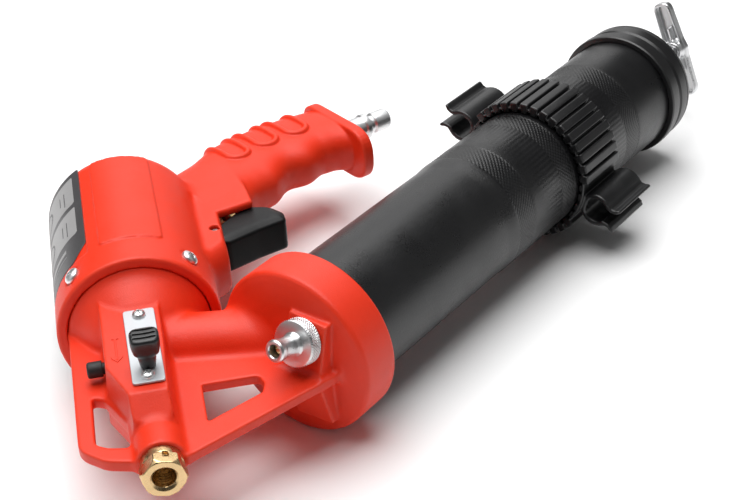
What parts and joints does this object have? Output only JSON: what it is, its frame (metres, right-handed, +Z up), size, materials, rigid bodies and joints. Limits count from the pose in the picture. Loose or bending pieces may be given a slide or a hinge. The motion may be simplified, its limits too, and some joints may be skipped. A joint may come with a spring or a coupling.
{
  "type": "air operated grease gun",
  "caption": "Pistol-grip pneumatic grease gun: coral cast air motor and pump head, black grease barrel with a hose-clip collar, T-handle, selector lever, bleeder and brass outlet.",
  "frame": {"origin": "middle of the bounding box's footprint, at the lowest point, which is the rim of the barrel cap", "axes": "+X along the grease barrel from the cap to the T-handle, +Z up as the gun lies on its side, +Y from the barrel towards the air motor and grip"},
  "size_m": [0.4176, 0.2004, 0.0709],
  "materials": {
    "coral_cast": "fine textured satin powder coat over a die casting",
    "coral_grip": "fine textured satin powder coat over a die casting",
    "black_coat": "satin black powder coat",
    "black_plastic": "moulded, lightly textured",
    "black_rubber": "matt",
    "zinc_steel": "bright nickel or zinc plate",
    "plain_steel": "ground and oiled",
    "brass": "machined, lightly tarnished",
    "label_film": null
  },
  "bodies": {
    "housing": {"motor_housing": "coral_grip", "pump_head": "coral_cast", "label_plate": "label_film", "housing_screw_upper_right": "zinc_steel", "housing_screw_lower_right": "zinc_steel", "housing_screw_lower_left": "zinc_steel", "housing_screw_upper_left": "zinc_steel", "selector_plate": "zinc_steel", "selector_screw_rear": "zinc_steel", "selector_screw_front": "zinc_steel", "side_plug": "black_rubber", "outlet_fitting": "brass", "head_seal": "black_rubber", "trigger_pin": "plain_steel", "valve_bush": "brass", "air_inlet_plug": "zinc_steel"},
    "trigger": {"trigger": "black_plastic"},
    "valve": {"valve_stem": "plain_steel", "valve_spring": "plain_steel"},
    "selector": {"selector_stem": "plain_steel", "selector_knob": "black_plastic"},
    "piston": {"air_piston": "plain_steel", "piston_seal": "black_rubber", "plunger": "plain_steel", "return_spring": "plain_steel"},
    "check_ball": {"check_ball": "plain_steel"},
    "bleeder": {"bleeder_body": "zinc_steel"},
    "bleeder_pin": {"bleeder_pin": "plain_steel"},
    "barrel_thread": {"barrel_seal": "black_rubber"},
    "barrel": {"barrel_tube": "black_coat", "end_cap": "black_plastic", "follower_spring": "plain_steel"},
    "collar": {"clip_collar": "black_plastic"},
    "follower": {"follower_rod": "zinc_steel", "follower_plate": "plain_steel", "follower_cup": "black_rubber", "t_handle": "zinc_steel"}
  },
  "joints": [
    {"name": "trigger_pivot", "type": "hinge", "parent": "housing", "child": "trigger", "pos_m": [-0.07804, 0.02274, 0.03546], "axis": [0, 0, 1], "range_deg": [0, 10], "stiffness_Nm_per_rad": 0.6, "springref_deg": -5.73},
    {"name": "valve_slide", "type": "slide", "parent": "housing", "child": "valve", "axis": [0.2756, 0.9613, 0], "range_m": [0, 0.0036], "deforming": ["valve_spring"]},
    {"name": "selector_slide", "type": "slide", "parent": "housing", "child": "selector", "axis": [0.6619, 0.7482, 0.0454], "range_m": [0, 0.0155]},
    {"name": "piston_slide", "type": "slide", "parent": "housing", "child": "piston", "axis": [-0.6626, -0.749, 0], "range_m": [0, 0.028], "stiffness_N_per_m": 500, "springref_m": -0.012, "deforming": ["return_spring"]},
    {"name": "check_ball_slide", "type": "slide", "parent": "housing", "child": "check_ball", "axis": [-0.6626, -0.749, 0], "range_m": [0, 0.0022], "stiffness_N_per_m": 60, "springref_m": -0.002},
    {"name": "bleeder_turn", "type": "hinge", "parent": "housing", "child": "bleeder", "pos_m": [-0.12493, -0.06276, 0.05016], "axis": [-0.9588, 0, 0.284], "range_deg": [0, 360]},
    {"name": "bleeder_pin_slide", "type": "slide", "parent": "bleeder", "child": "bleeder_pin", "axis": [0.9588, 0, -0.284], "range_m": [0, 0.0014], "stiffness_N_per_m": 150, "springref_m": -0.001},
    {"name": "barrel_thread_slide", "type": "slide", "parent": "housing", "child": "barrel_thread", "axis": [1, 0, 0], "range_m": [0, 0.0061]},
    {"name": "barrel_turn", "type": "hinge", "parent": "barrel_thread", "child": "barrel", "pos_m": [-0.09944, -0.05146, 0.03546], "axis": [1, 0, 0], "range_deg": [0, 1080]},
    {"name": "collar_turn", "type": "hinge", "parent": "barrel", "child": "collar", "pos_m": [0.05256, -0.05146, 0.03546], "axis": [1, 0, 0], "range_deg": [-90, 90]},
    {"name": "follower_slide", "type": "slide", "parent": "barrel", "child": "follower", "axis": [1, 0, 0], "range_m": [-0.034, 0.15], "deforming": ["follower_spring"]}
  ],
  "couplings": [
    {"joint": "valve_slide", "follows": "trigger_pivot", "m_per_rad": 0.0195},
    {"joint": "barrel_thread_slide", "follows": "barrel_turn", "m_per_rad": 0.00031831}
  ]
}
